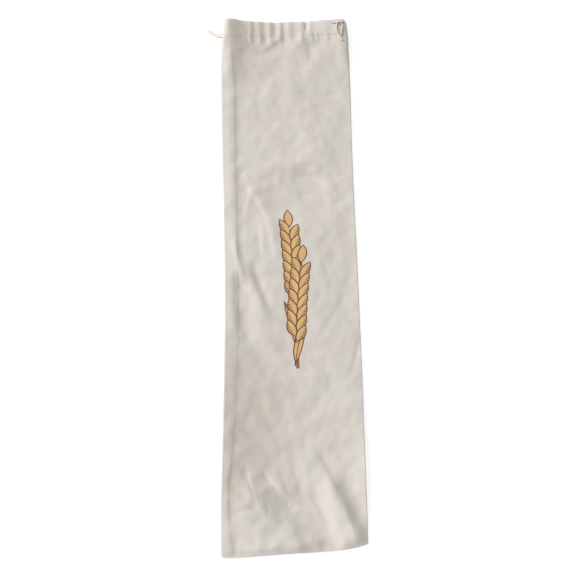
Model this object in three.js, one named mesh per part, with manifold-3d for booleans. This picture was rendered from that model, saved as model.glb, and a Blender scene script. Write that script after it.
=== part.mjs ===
// A cotton baguette bag lying on its back with its mouth towards +Y. One cloth is folded lengthwise at the
// right and seamed down the left and along the bottom; its top is hemmed into a casing that holds two
// drawcords. Sizes are in millimetres, +Z is up and the back rests on z = 0.

import * as THREE from "three";
import { mergeVertices } from "three/addons/utils/BufferGeometryUtils.js";
import Module from "manifold-3d";

const wasm = await Module();
wasm.setup();

const CLOTH = 1.0; // one layer of cloth
const CORD = 2.0; // drawcord across
const CORD_SIDES = 8;
const CLEARANCE = 0.3; // between a cord and the cloth round it
const CHANNEL = CORD + 3 * CLEARANCE; // height of the casing's inside
const CHANNEL_DEPTH = CLOTH + CHANNEL / 2; // from the casing's outside to the middle of its inside
const ALLOWANCE = 1.6; // the two raw edges that lie under the front beside the seam
const SEAM_STEP = 8; // width over which the front slopes down off the raw edges
const SWELL = 56; // from each side edge to where the front is at its full height
const GATHER_REACH = 0.03; // how far below the stitch line the gathers die away, as a run
const BOTTOM_SEAM = 0.03; // how far the flat bottom seam reaches up, as a run
const SIDE_SEAM_END = 0.93; // where the raw edges beside the seam begin to die away, as a run
const LEAST_GAP = 0.9; // between the front and the back, inside
const LEAST_CAP = 2.1; // least half-width of a rounded side edge
const CASING_MIDDLE = 1.5; // half way up the casing, as a run
const FOLD_FADE = 0.25; // share of a fold over which each of its ends dies away
const FOLD_STEPS = 12; // straight pieces that a fold's line is measured by
const CAP_STEPS = 4; // facets round each side edge
const BACK_STEPS = 4; // facets across the back
const SEAM_STEPS = 2; // facets across the front between the left edge and the seam
const WIDEST_COLUMN = 7.2; // widest facet across the rest of the front

// Places along the bag are given as a run: 0 at the bottom edge, 1 at the casing's stitch line and 2 at the
// mouth. Across it they are a share: 0 at the left edge and 1 at the right.

// The left edge, the seam and the right edge along the bag.
const OUTLINE = [
  { run: 0.0, left: -87.3, seam: -71.7, right: 87.5 },
  { run: 0.044, left: -87.8, seam: -75.7, right: 87.8 },
  { run: 0.117, left: -86.9, seam: -77.7, right: 87.4 },
  { run: 0.183, left: -85.7, seam: -72.7, right: 87.4 },
  { run: 0.274, left: -84.2, seam: -68.7, right: 87.4 },
  { run: 0.368, left: -83.2, seam: -65.7, right: 87.0 },
  { run: 0.461, left: -82.7, seam: -64.9, right: 86.5 },
  { run: 0.51, left: -82.8, seam: -65.4, right: 86.1 },
  { run: 0.56, left: -83.0, seam: -65.8, right: 85.6 },
  { run: 0.659, left: -84.0, seam: -66.7, right: 84.7 },
  { run: 0.762, left: -85.5, seam: -67.7, right: 84.2 },
  { run: 0.868, left: -86.8, seam: -67.7, right: 84.5 },
  { run: 0.931, left: -87.6, seam: -69.7, right: 84.4 },
  { run: 0.973, left: -86.7, seam: -70.7, right: 84.0 },
  { run: 1.04, left: -84.1, seam: -70.7, right: 83.6 },
  { run: 2.0, left: -82.7, seam: -69.7, right: 82.3 },
];

// The bottom edge, the stitch line and the mouth across the bag.
const EDGES = [
  { share: 0.0, bottom: -346.6, stitch: 318.3, mouth: 346.2 },
  { share: 0.03, bottom: -348.4, stitch: 318.7, mouth: 348.7 },
  { share: 0.1, bottom: -348.7, stitch: 319.1, mouth: 347.5 },
  { share: 0.25, bottom: -347.0, stitch: 319.5, mouth: 344.3 },
  { share: 0.5, bottom: -344.5, stitch: 320.3, mouth: 342.6 },
  { share: 0.75, bottom: -342.7, stitch: 321.1, mouth: 343.2 },
  { share: 0.9, bottom: -339.4, stitch: 321.5, mouth: 344.7 },
  { share: 0.97, bottom: -336.5, stitch: 321.7, mouth: 345.1 },
  { share: 1.0, bottom: -335.2, stitch: 321.7, mouth: 341.1 },
];

// Height of the front at the middle and at the side edges, and the thickness of each wall.
const SECTIONS = [
  { run: 0.0, middle: 3.6, edge: 3.4, wall: 1.0 },
  { run: 0.02, middle: 6.6, edge: 4.2, wall: 1.0 },
  { run: 0.08, middle: 10.6, edge: 4.8, wall: 1.0 },
  { run: 0.18, middle: 11.6, edge: 5.0, wall: 1.0 },
  { run: 0.8, middle: 11.6, edge: 5.0, wall: 1.0 },
  { run: 0.93, middle: 12.0, edge: 7.0, wall: 1.0 },
  { run: 0.985, middle: 12.8, edge: 11.0, wall: 1.1 },
  { run: 1.0, middle: 12.4, edge: 11.0, wall: 2.2 },
  { run: 1.14, middle: 13.9, edge: 13.0, wall: 4.6 },
  { run: 1.5, middle: 14.0, edge: 13.4, wall: 4.6 },
  { run: 1.8, middle: 13.9, edge: 13.0, wall: 4.6 },
  { run: 2.0, middle: 12.4, edge: 11.4, wall: 2.6 },
];

// Where each row of facets across the bag ends, and how many rows lead up to it.
const STATIONS = [
  { until: 0.024, steps: 3 },
  { until: 0.19, steps: 13 },
  { until: 0.88, steps: 28 },
  { until: 0.988, steps: 8 },
  { until: 1.0, steps: 2 },
  { until: 1.14, steps: 2 },
  { until: 1.82, steps: 4 },
  { until: 2.0, steps: 2 },
];

// The gathers along the front of the casing, from the first hollow on: each is a crest with a hollow to its
// right.
const FIRST_HOLLOW = -51;
const GATHERS = [
  { crest: -47, hollow: -42, rise: 0.7 },
  { crest: -35.5, hollow: -28, rise: 1.2 },
  { crest: -21.5, hollow: -14, rise: 1.6 },
  { crest: -7.5, hollow: -2, rise: 1.3 },
  { crest: 5, hollow: 12.5, rise: 0.9 },
  { crest: 21, hollow: 27, rise: 0.9 },
  { crest: 32, hollow: 39, rise: 0.7 },
  { crest: 51, hollow: 62, rise: 0.6 },
];

// The folds of the front, from the mouth down: where each runs, how far its middle bows to the right of that
// line, if it does, its rise or fall, and its spread to the left and to the right of the line.
const FOLDS = [
  { name: "crest at the casing's left end", from: [-76, 376], to: [-75, 248], rise: 2.0, spread: [14, 12] },
  { name: "hollow beside that crest", from: [-56, 372], to: [-63, 258], rise: -1.4, spread: [12, 12] },
  { name: "ridge slanting up to the casing", from: [-32, 297], to: [3, 325], rise: 1.3, spread: [8, 6] },
  { name: "hollow under that ridge", from: [-21, 297], to: [8, 316], rise: -0.6, spread: [6, 9] },
  { name: "small ridge under the casing", from: [8, 303], to: [27, 320], rise: 1.0, spread: [7, 6] },
  { name: "ridge by the right edge", from: [68, 350], to: [80, 268], rise: 1.0, spread: [7, 7] },
  { name: "soft arc", from: [12, 250], to: [44, 190], bow: -14, rise: -0.6, spread: [9, 9] },
  { name: "slanting crease", from: [-40, 225], to: [-6, 195], rise: 0.7, spread: [7, 7] },
  { name: "arch over the print", from: [-42, 130], to: [18, 140], bow: -6, rise: 0.8, spread: [8, 8] },
  { name: "right end of the arch", from: [28, 139], to: [66, 105], rise: 0.9, spread: [8, 8] },
  { name: "ridge right of the print", from: [52, 120], to: [56, 60], rise: 0.9, spread: [12, 8] },
  { name: "top of the peak", from: [-68, 130], to: [-48, 104], rise: 1.5, spread: [8, 6] },
  { name: "right leg of the peak", from: [-54, 118], to: [-17, 14], bow: -9, rise: 1.4, spread: [7, 6] },
  { name: "left leg of the peak", from: [-45, 118], to: [-57, 64], rise: 1.0, spread: [7, 6] },
  { name: "ridge from the seam", from: [-60, 16], to: [-22, -74], bow: 2, rise: 1.8, spread: [7, 8] },
  { name: "hollow beside it", from: [-47, 18], to: [-26, -46], bow: 2, rise: -1.4, spread: [7, 6] },
  { name: "crest by the seam", from: [-70, 50], to: [-56, -20], bow: 2, rise: 1.9, spread: [7, 6] },
  { name: "hollow by the seam", from: [-67, 0], to: [-61, -84], rise: -2.4, spread: [18, 8] },
  { name: "slanting hollow", from: [-62, -56], to: [-20, -147], bow: 2, rise: -1.2, spread: [12, 9] },
  { name: "curved hollow on the right", from: [80, 0], to: [24, -98], bow: -8, rise: -1.2, spread: [11, 7] },
  { name: "ridge over that hollow", from: [54, 74], to: [72, -12], rise: 0.9, spread: [9, 20] },
  { name: "drop under the edge", from: [-40, -246], to: [6, -297], bow: 2, rise: -2.1, spread: [6, 24] },
  { name: "sharp edge", from: [-38, -240], to: [2, -288], bow: 3, rise: 0.6, spread: [9, 6] },
  { name: "crease beside the sharp edge", from: [-1, -232], to: [14, -302], rise: -0.8, spread: [8, 6] },
  { name: "hollow under the sharp edge", from: [-2, -262], to: [0, -340], rise: -1.8, spread: [16, 24] },
  { name: "broad hollow", from: [18, -258], to: [50, -356], rise: -3.0, spread: [10, 34] },
  { name: "crease down to the pinch", from: [-58, -262], to: [-39, -298], rise: 1.1, spread: [6, 6] },
  { name: "curved swelling", from: [-58, -248], to: [38, -358], bow: 20, rise: 5.4, spread: [22, 50] },
  { name: "ridge left of the pinch", from: [-84, -274], to: [-46, -290], rise: 0.9, spread: [6, 6] },
  { name: "hollow left of the pinch", from: [-76, -298], to: [-38, -288], rise: -1.0, spread: [6, 6] },
  { name: "ridge to the bottom", from: [-12, -306], to: [22, -374], rise: 2.0, spread: [10, 16] },
  { name: "upright ridge at the bottom", from: [-40, -306], to: [-41, -374], rise: 1.0, spread: [11, 7] },
  { name: "hollow of the side seam's end", from: [-70, -316], to: [-70, -372], rise: -1.1, spread: [7, 10] },
  { name: "ridge beside the long one", from: [37, -250], to: [73, -374], rise: 2.2, spread: [15, 11] },
  { name: "long ridge to the corner", from: [37, -248], to: [96, -366], rise: 3.6, spread: [12, 13] },
  { name: "long hollow to the corner", from: [52, -246], to: [106, -362], rise: -3.4, spread: [18, 10] },
  { name: "swelling at the bottom right", from: [59, -314], to: [64, -380], rise: 2.0, spread: [26, 42] },
  { name: "lift along the right edge", from: [93, -190], to: [97, -325], rise: 3.4, spread: [16, 17] },
];

// Each drawcord goes once round inside the casing, at its own run, and both its ends leave by one slot.
const LEFT_CORD_RUN = 1.24;
const RIGHT_CORD_RUN = 1.7;
const SLOT_WIDTH = CORD + 6 * CLEARANCE;
// Where the right cord's ends come out across the front, and how far before that they climb.
const RIGHT_EXITS = { first: 65, second: 71, climb: 4 };

// Half the height of the casing's inside, from its lower side to its upper.
const CHANNEL_SECTION = [
  { run: 1.1, half: 0 },
  { run: 1.16, half: CHANNEL / 2 },
  { run: 1.37, half: CHANNEL / 2 },
  { run: 1.58, half: CHANNEL / 2 },
  { run: 1.79, half: CHANNEL / 2 },
  { run: 1.85, half: 0 },
];

// The loose ends of the left cord past the edge, ending on the table.
const LEFT_ENDS = [
  [
    { x: -89, y: 325.2, z: 8.6 },
    { x: -93.5, y: 327.9, z: 6.0 },
    { x: -97.5, y: 332.0, z: 3.4 },
    { x: -101.4, y: 336.6, z: 1.3 },
  ],
  [
    { x: -89, y: 324.7, z: 3.2 },
    { x: -94.3, y: 326.9, z: 1.6 },
    { x: -98.9, y: 330.4, z: 1.05 },
    { x: -103.4, y: 334.6, z: 1.05 },
  ],
];

// The loose ends of the right cord, lying on the front of the casing.
const RIGHT_ENDS = [
  [
    { x: 68.2, y: 333 },
    { x: 68.6, y: 329.5 },
    { x: 70, y: 326 },
    { x: 71.2, y: 323.6 },
    { x: 72.6, y: 321 },
    { x: 75, y: 315 },
  ],
  [
    { x: 73.6, y: 334 },
    { x: 74.6, y: 331 },
    { x: 74.2, y: 328 },
    { x: 75.4, y: 324.6 },
  ],
];

const { clamp, lerp, smoothstep } = THREE.MathUtils;

// A smooth curve through one column of a table, which stays between the rows on either side.
function curve(rows, by, column) {
  const steepness = (i) => (rows[i + 1][column] - rows[i][column]) / (rows[i + 1][by] - rows[i][by]);
  const slope = (i) => {
    if (i === 0 || i === rows.length - 1) return 0;
    const before = steepness(i - 1);
    const after = steepness(i);
    return before * after > 0 ? (2 * before * after) / (before + after) : 0;
  };
  return (at) => {
    const next = rows.findIndex((row) => row[by] > at);
    const i = next < 0 ? rows.length - 2 : Math.max(next - 1, 0);
    const span = rows[i + 1][by] - rows[i][by];
    const t = clamp((at - rows[i][by]) / span, 0, 1);
    const bend = 3 * t * t - 2 * t * t * t;
    const start = t * (1 - t) * (1 - t) * slope(i) * span;
    const end = t * t * (t - 1) * slope(i + 1) * span;
    return lerp(rows[i][column], rows[i + 1][column], bend) + start + end;
  };
}

const leftEdge = curve(OUTLINE, "run", "left");
const seamLine = curve(OUTLINE, "run", "seam");
const rightEdge = curve(OUTLINE, "run", "right");
const bottomEdge = curve(EDGES, "share", "bottom");
const stitchLine = curve(EDGES, "share", "stitch");
const mouthEdge = curve(EDGES, "share", "mouth");
const middleHeight = curve(SECTIONS, "run", "middle");
const edgeHeight = curve(SECTIONS, "run", "edge");
const wallThickness = curve(SECTIONS, "run", "wall");

// Where a run lies along the bag, at a place across it.
function along(run, x) {
  const share = (x - leftEdge(run)) / (rightEdge(run) - leftEdge(run));
  if (run <= 1) return lerp(bottomEdge(share), stitchLine(share), run);
  return lerp(stitchLine(share), mouthEdge(share), run - 1);
}

// Half the width of a rounded side edge.
function capWidth(run) {
  return Math.max(edgeHeight(run) / 2, LEAST_CAP);
}

const foldLines = FOLDS.map(({ from, to, bow = 0 }) => {
  const start = new THREE.Vector2(...from);
  const end = new THREE.Vector2(...to);
  const reach = end.clone().sub(start);
  const right = new THREE.Vector2(reach.y, -reach.x).normalize();
  const bend = start.clone().add(end).multiplyScalar(0.5).addScaledVector(right, 2 * bow);
  return new THREE.QuadraticBezierCurve(start, bend, end).getPoints(FOLD_STEPS);
});

// How far a point lies from a fold's line, whether it is to the right of it, and how far along the line its
// nearest point is.
function nearest(line, point) {
  let best = { away: Infinity, toRight: false, share: 0 };
  for (let i = 0; i < line.length - 1; i += 1) {
    const reach = line[i + 1].clone().sub(line[i]);
    const t = clamp(point.clone().sub(line[i]).dot(reach) / reach.lengthSq(), 0, 1);
    const offset = point.clone().sub(line[i]).addScaledVector(reach, -t);
    const away = offset.length();
    const share = (i + t) / (line.length - 1);
    if (away < best.away) best = { away, toRight: offset.cross(reach) > 0, share };
  }
  return best;
}

function foldRise(x, y) {
  const point = new THREE.Vector2(x, y);
  return FOLDS.reduce((total, fold, i) => {
    const { away, toRight, share } = nearest(foldLines[i], point);
    const fade = smoothstep(share, 0, FOLD_FADE) * smoothstep(1 - share, 0, FOLD_FADE);
    const [left, right] = fold.spread;
    return total + fold.rise * fade * Math.exp(-((away / (toRight ? right : left)) ** 2));
  }, 0);
}

const gatherPoints = GATHERS.flatMap(({ crest, hollow, rise }) => [
  { x: crest, rise },
  { x: hollow, rise: 0 },
]);
const gatherWave = curve([{ x: FIRST_HOLLOW, rise: 0 }, ...gatherPoints], "x", "rise");

// What the gathers and the raw edges of the seam add to the front's thickness.
function extraRise(run, x) {
  const gathered = smoothstep(run, 1 - GATHER_REACH, 1) * gatherWave(x);
  const overSeam = 1 - smoothstep(x - seamLine(run), -SEAM_STEP / 2, SEAM_STEP / 2);
  const seamed = smoothstep(run, 0, BOTTOM_SEAM) * (1 - smoothstep(run, SIDE_SEAM_END, 1));
  return gathered + ALLOWANCE * overSeam * seamed;
}

// Height of the front without those, at a place across and along the bag.
function plainFront(run, x) {
  const cap = capWidth(run);
  const fromLeft = smoothstep(x - leftEdge(run) - cap, 0, SWELL);
  const fromRight = smoothstep(rightEdge(run) - cap - x, 0, SWELL);
  const swell = lerp(edgeHeight(run), middleHeight(run), fromLeft * fromRight);
  const folded = swell + foldRise(x, along(run, x)) * smoothstep(run, 0, BOTTOM_SEAM);
  return Math.max(folded, 2 * wallThickness(run) + LEAST_GAP);
}

function outerFront(run, x) {
  return plainFront(run, x) + extraRise(run, x);
}

// Splits each gap between the gathers' crests and hollows into facets, as shares of the front to the right of
// the seam.
function gatherShares() {
  const from = seamLine(CASING_MIDDLE) + SEAM_STEP / 2;
  const to = rightEdge(CASING_MIDDLE) - capWidth(CASING_MIDDLE);
  const places = [from, ...gatherPoints.map(({ x }) => x), to];
  const shares = places.slice(1).flatMap((place, i) => {
    const steps = Math.ceil((place - places[i]) / WIDEST_COLUMN);
    return Array.from({ length: steps }, (_, k) => (lerp(places[i], place, k / steps) - from) / (to - from));
  });
  return [...shares, 1];
}

const rightShares = gatherShares();

// Places of the facets' corners across the front.
function frontColumns(run) {
  const start = leftEdge(run) + capWidth(run);
  const beforeSeam = seamLine(run) - SEAM_STEP / 2;
  const afterSeam = seamLine(run) + SEAM_STEP / 2;
  const end = rightEdge(run) - capWidth(run);
  const left = Array.from({ length: SEAM_STEPS + 1 }, (_, i) => lerp(start, beforeSeam, i / SEAM_STEPS));
  return [...left, ...rightShares.map((share) => lerp(afterSeam, end, share))];
}

// Corners round one side edge, from the back to the front, at a depth under the outside.
function capPoints(run, side, top, depth) {
  const cap = capWidth(run);
  const centre = side < 0 ? leftEdge(run) + cap : rightEdge(run) - cap;
  return Array.from({ length: CAP_STEPS - 1 }, (_, i) => {
    const angle = Math.PI * ((i + 1) / CAP_STEPS - 0.5);
    const x = centre + side * (cap - depth) * Math.cos(angle);
    const z = (top + depth) / 2 + ((top - depth) / 2) * Math.sin(angle);
    return new THREE.Vector3(x, along(run, x), z);
  });
}

// One loop round the bag at a run: up the left edge, over the front, down the right edge and back under.
// The depth is measured inwards from the back, the edges and the front that is given.
function ring(run, depth, front) {
  const columns = frontColumns(run);
  const over = columns.map((x) => new THREE.Vector3(x, along(run, x), front(run, x) - depth));
  const first = columns[0];
  const last = columns[columns.length - 1];
  const under = Array.from({ length: BACK_STEPS + 1 }, (_, i) => {
    const x = lerp(last, first, i / BACK_STEPS);
    return new THREE.Vector3(x, along(run, x), depth);
  });
  const leftCap = capPoints(run, -1, over[0].z, depth);
  const rightCap = capPoints(run, 1, over[over.length - 1].z, depth).reverse();
  const middle = Math.floor(leftCap.length / 2);
  return [...leftCap.slice(middle), ...over, ...rightCap, ...under, ...leftCap.slice(0, middle)];
}

// A closed shape through a row of loops, with its two ends filled or joined to each other.
function skin(rings, fillEnds) {
  const count = rings[0].length;
  const sides = fillEnds ? rings.length - 1 : rings.length;
  const triangles = [];
  for (let i = 0; i < sides; i += 1) {
    const here = i * count;
    const next = ((i + 1) % rings.length) * count;
    for (let j = 0; j < count; j += 1) {
      const k = (j + 1) % count;
      triangles.push([here + j, here + k, next + k], [here + j, next + k, next + j]);
    }
  }
  if (fillEnds) {
    triangles.push(...fill(rings[0], 0, true), ...fill(rings[sides], sides * count, false));
  }
  const geometry = new THREE.BufferGeometry().setFromPoints(rings.flat());
  return geometry.setIndex(triangles.flat());
}

// Triangles over one loop, in a strip from its first corner to the corner farthest from that.
function fill(loop, first, facesBack) {
  const away = loop.map((point) => point.distanceTo(loop[0]));
  const farthest = away.indexOf(Math.max(...away));
  const triangles = [];
  let here = 0;
  let back = loop.length - 1;
  while (back - here > 1) {
    const stepsHere = back === farthest || (here < farthest && away[here + 1] < away[back - 1]);
    const triangle = [here, stepsHere ? here + 1 : back - 1, back].map((corner) => corner + first);
    triangles.push(facesBack ? triangle.reverse() : triangle);
    if (stepsHere) here += 1;
    else back -= 1;
  }
  return triangles;
}

// The runs of the rows of facets.
function stations() {
  let start = 0;
  const runs = STATIONS.flatMap(({ until, steps }) => {
    const rows = Array.from({ length: steps }, (_, i) => lerp(start, until, i / steps));
    start = until;
    return rows;
  });
  return [...runs, start];
}

// The outside of the cloth, filled.
function outside(runs) {
  return skin(runs.map((run) => ring(run, 0, outerFront)), true);
}

// The bag's inside, from above the bottom seam out through the mouth.
function inside(runs) {
  const rings = runs.slice(1).map((run) => ring(run, wallThickness(run), plainFront));
  const beyondMouth = new THREE.Vector3(0, 2 * CHANNEL, 0);
  const beyond = rings[rings.length - 1].map((point) => point.clone().add(beyondMouth));
  return skin([...rings, beyond], true);
}

// The casing's inside: a flat tube all the way round.
function channel() {
  const wall = (side) => ({ run, half }) => ring(run, CHANNEL_DEPTH + side * half, plainFront);
  const over = CHANNEL_SECTION.map(wall(-1));
  const within = CHANNEL_SECTION.slice(1, -1).map(wall(1));
  const walls = [...within, ...over.reverse()];
  const loops = walls[0].map((_, i) => walls.map((loop) => loop[i]));
  return skin(loops, false);
}

function block(low, high) {
  const size = high.clone().sub(low);
  const middle = high.clone().add(low).multiplyScalar(0.5);
  return new THREE.BoxGeometry(...size).translate(...middle);
}

// The slot in the left edge of the casing, past the two turns of its cord.
function leftSlot() {
  const half = SLOT_WIDTH / 2;
  const turns = ring(LEFT_CORD_RUN, CHANNEL_DEPTH, plainFront);
  const upper = turns[1];
  const lower = turns[turns.length - 1];
  const past = leftEdge(LEFT_CORD_RUN) - CHANNEL;
  return block(
    new THREE.Vector3(past, lower.y - half, lower.z - half),
    new THREE.Vector3(lower.x - CLEARANCE, lower.y + half, upper.z + half),
  );
}

// The slot on the front of the casing, by its right end.
function rightSlot() {
  const { first, second, climb } = RIGHT_EXITS;
  const half = SLOT_WIDTH / 2;
  const y = along(RIGHT_CORD_RUN, first);
  const floor = plainFront(RIGHT_CORD_RUN, first) - CHANNEL_DEPTH;
  return block(
    new THREE.Vector3(first - climb - CORD, y - half, floor),
    new THREE.Vector3(second + climb + CORD, y + half, floor + 2 * CHANNEL),
  );
}

// The left cord: in at the upper turn of the left edge, over the front, round behind and out at the lower
// turn.
function leftCordPath() {
  const [above, below] = LEFT_ENDS.map((end) => end.map(({ x, y, z }) => new THREE.Vector3(x, y, z)));
  return [...above.reverse(), ...ring(LEFT_CORD_RUN, CHANNEL_DEPTH, plainFront).slice(1), ...below];
}

// The right cord: in at its first exit, left along the front, round behind and over the right edge to its
// second.
function rightCordPath() {
  const { first, second, climb } = RIGHT_EXITS;
  const loop = ring(RIGHT_CORD_RUN, CHANNEL_DEPTH, plainFront);
  const start = loop.findIndex(({ x }) => x > first - climb - 1);
  const stop = loop.findIndex(({ x }) => x > second + climb + 1);
  const [one, two] = RIGHT_ENDS.map((end) => end.map(({ x, y }) => resting(x, y)));
  return [
    ...one.reverse(),
    ...riser(first - climb, first).reverse(),
    ...loop.slice(0, start).reverse(),
    ...loop.slice(stop).reverse(),
    ...riser(second + climb, second),
    ...two,
  ];
}

// Three points that climb from the casing's inside up through the front.
function riser(from, to) {
  const start = plainFront(RIGHT_CORD_RUN, from) - CHANNEL_DEPTH + CLEARANCE;
  const end = resting(to, along(RIGHT_CORD_RUN, to)).z;
  return [0, 0.5, 1].map((share) => {
    const x = lerp(from, to, share);
    return new THREE.Vector3(x, along(RIGHT_CORD_RUN, x), lerp(start, end, share));
  });
}

// A point where a cord rests on the front of the bag.
function resting(x, y) {
  const width = rightEdge(CASING_MIDDLE) - leftEdge(CASING_MIDDLE);
  const share = (x - leftEdge(CASING_MIDDLE)) / width;
  const stitch = stitchLine(share);
  const run = y > stitch
    ? 1 + (y - stitch) / (mouthEdge(share) - stitch)
    : (y - bottomEdge(share)) / (stitch - bottomEdge(share));
  return new THREE.Vector3(x, y, outerFront(run, x) + CORD / 2 + 2 * CLEARANCE);
}

// A curve through chosen points, swept with one step from each point to the next.
class Route extends THREE.CatmullRomCurve3 {
  getPointAt(share, target) {
    return this.getPoint(share, target);
  }

  getTangentAt(share, target) {
    return this.getTangent(share, target);
  }
}

function cord(path) {
  const section = new THREE.Shape().absarc(0, 0, CORD / 2, 0, 2 * Math.PI);
  return new THREE.ExtrudeGeometry(section, {
    curveSegments: CORD_SIDES / 2,
    steps: path.length - 1,
    extrudePath: new Route(path),
  });
}

function solid(geometry) {
  geometry.deleteAttribute("normal");
  geometry.deleteAttribute("uv");
  const merged = mergeVertices(geometry);
  const vertProperties = merged.getAttribute("position").array;
  const triVerts = new Uint32Array(merged.index.array);
  return new wasm.Manifold(new wasm.Mesh({ numProp: 3, vertProperties, triVerts }));
}

function cut(whole, hollows) {
  const left = hollows.reduce((rest, hollow) => rest.subtract(solid(hollow)), solid(whole));
  const { vertProperties, triVerts } = left.getMesh();
  const geometry = new THREE.BufferGeometry();
  geometry.setAttribute("position", new THREE.BufferAttribute(vertProperties, 3));
  geometry.setIndex(new THREE.BufferAttribute(triVerts, 1));
  geometry.computeVertexNormals();
  return geometry;
}

function mesh(name, geometry, color) {
  const made = new THREE.Mesh(geometry, new THREE.MeshStandardMaterial({ color, roughness: 0.9 }));
  made.name = name;
  return made;
}

const runs = stations();
const cloth = cut(outside(runs), [inside(runs), channel(), leftSlot(), rightSlot()]);

const bag = new THREE.Group();
bag.name = "bread_bag";
bag.add(mesh("bag_cloth", cloth, 0xd6cfc4));
bag.add(mesh("drawcord_left", cord(leftCordPath()), 0xe6ddd0));
bag.add(mesh("drawcord_right", cord(rightCordPath()), 0xe6ddd0));

export default bag;
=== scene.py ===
"""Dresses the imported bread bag.

The cloth is a thin calico shell with folds, sewing and a print, and two twisted cords lie in its casing.
"""

import math
from functools import partialmethod
from typing import NamedTuple

import bmesh
import bpy
import numpy as np
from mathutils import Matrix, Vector, noise


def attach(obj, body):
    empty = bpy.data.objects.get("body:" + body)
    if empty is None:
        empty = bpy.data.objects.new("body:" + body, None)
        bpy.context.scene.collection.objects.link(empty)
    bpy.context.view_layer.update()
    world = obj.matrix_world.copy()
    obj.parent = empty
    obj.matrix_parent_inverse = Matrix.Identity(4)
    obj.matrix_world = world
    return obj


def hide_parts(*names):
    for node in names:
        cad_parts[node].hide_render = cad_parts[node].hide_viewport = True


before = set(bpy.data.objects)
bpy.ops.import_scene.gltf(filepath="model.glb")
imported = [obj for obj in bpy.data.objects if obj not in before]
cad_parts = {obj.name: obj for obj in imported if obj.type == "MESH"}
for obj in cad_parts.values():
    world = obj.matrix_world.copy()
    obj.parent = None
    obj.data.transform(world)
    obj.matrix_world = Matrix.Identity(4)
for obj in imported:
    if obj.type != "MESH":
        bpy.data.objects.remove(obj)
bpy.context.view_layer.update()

MM = 0.001  # the sizes and tables below are in millimetres, in the frame's own axes

# Places along the bag are given as a run: 0 at the bottom edge, 1 at the casing's stitch line and 2 at the
# mouth. Across it they are a share: 0 at the left edge and 1 at the right.
BODY_LENGTH = 665.0  # from the bottom edge to the stitch line
CASING_LENGTH = 24.0  # from there to the mouth
CASING_MIDDLE = 1.5  # as a run
CLOTH = 1.0  # one layer of cloth
LEAST_GAP = 0.4  # between the front and the back, inside
LEFT_SWELL = 88.0  # from the left edge to where the front has the height of its middle
RIGHT_SWELL = 56.0  # the same from the right edge
SEAM_STEP = 3.2  # width of the crease where the front drops off the seam's raw edges
SEAM_SLOPE = 14.0  # width of the softer slope around that crease
SEAM_SHARPNESS = 0.34  # the crease's share of the drop
STRIP_RISE = 9.0  # width over which the left edge rises on to the raw edges
STRIP_START = 0.55  # how much of their height it has at the edge
SIDE_SEAM_END = 0.93  # where the raw edges begin to die away, as a run
BOTTOM_SEAM = 0.014  # how far the flat bottom seam reaches up, as a run
BOTTOM_SHARE = 0.6  # how much of its rise a fold has at the bottom edge
TUCK = 0.6  # how far the back lies in under the front's side edges, as a share of their height
GATHER_REACH = 0.03  # how far below the stitch line the gathers die away, as a run
GATHER_LEAN = 0.15  # how far a gather shifts to the right for each millimetre down
STITCHED_SHARE = 0.62  # how much of its height a gather has at the stitch line
STITCHED_REACH = 0.35  # how far above that line it has all of it, as a run
FOLD_FADE = 0.25  # share of a fold over which each of its ends dies away
FOLD_STEPS = 12  # straight pieces that a fold's line is measured by
WRINKLE_SCALES = ((46.0, 1.25), (19.0, 1.0), (10.0, 0.48))  # width and rise of the loose wrinkles
FRONT_LAYER = 0.3  # where in the noise the front's wrinkles are read
BACK_LAYER = 7.3  # the same for the back's
BACK_LIFT = 0.35  # the back's wrinkles rise this far off the table

# The cloth's mesh
BODY_ROWS = 350  # rows of faces below the stitch line
CASING_ROWS = 20  # rows of faces above it
BODY_SKIP = 6  # the inside of the body has one row for this many of the outside
CASING_SKIP = 2  # the same in the casing
STRIP_COLUMNS = 8  # faces across the strip left of the seam
STEP_COLUMNS = 4  # faces across the step at the seam
FRONT_COLUMNS = 128  # faces across the rest of the front
BACK_COLUMNS = 30
CAP_STEPS = 8  # faces round each side edge
EDGE_ROUND = 1.3  # how far the bottom edge and the mouth round off
EDGE_STEPS = 4  # rows of faces round each of these

# The cords' ways out of the casing
LEFT_SLOT = 3.6  # height of the gap in the left edge
RIGHT_SLOT = 2.6  # height of the slit on the front
SLOT_REACH = 3.4  # how far the slit goes past the cord's two exits
SLOT_BRIDGE = 5.5  # length of the slit that stays shut between them
FRONT_LEAST = 9.0  # what lies higher in the casing is its front

# The row of stitches
STITCH_PITCH = 3.3
STITCH_LENGTH = 2.5
STITCH_INSET = 6.0  # from each side edge to the row
STITCH_SHOWS = 0.6  # how much of the thread stands out of the cloth
STITCH_TAPER = 0.5  # a stitch's thickness at its ends, as a share of its middle's
STITCH_RINGS = 7
STITCH_SIDES = 6
THREAD = 0.5  # sewing thread across

# The drawcords
CORD = 2.0  # across
CORD_STRANDS = 3
CORD_TWIST = 6.5  # one turn of the strands
CORD_GROOVE = 0.22  # depth between strands, as a share of the cord's radius
CORD_SIDES = 18
CORD_STEP = 0.5  # from ring to ring of a cord's mesh
CHANNEL_DEPTH = 2.45  # from the casing's outside to the middle of its inside
CORD_COLUMNS = 21  # points of a cord's loop across the front
CORD_UNDER = 5  # points of it across the back
CORD_CAP_STEPS = 4  # steps round each side edge
CORD_CLEARANCE = 0.3  # between a cord and the cloth under it where it begins to climb
CORD_JOIN = 1.0  # least distance from there to the loop's next point
CORD_REST = 0.25  # between a cord's end and the cloth it lies on
CLIMB_POINTS = 3
PATH_STEPS = 40  # from one chosen point of a path to the next
FRAY_SEED = 7
FRAY_COUNT = 16  # loose fibres at each end
FRAY_LENGTH = 3.4
FRAY_SHORTEST = 0.5  # the shortest fibre, as a share of that
FRAY_WIDTH = 0.16
FRAY_SPREAD = 0.35  # how far the fibres lean apart
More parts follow.
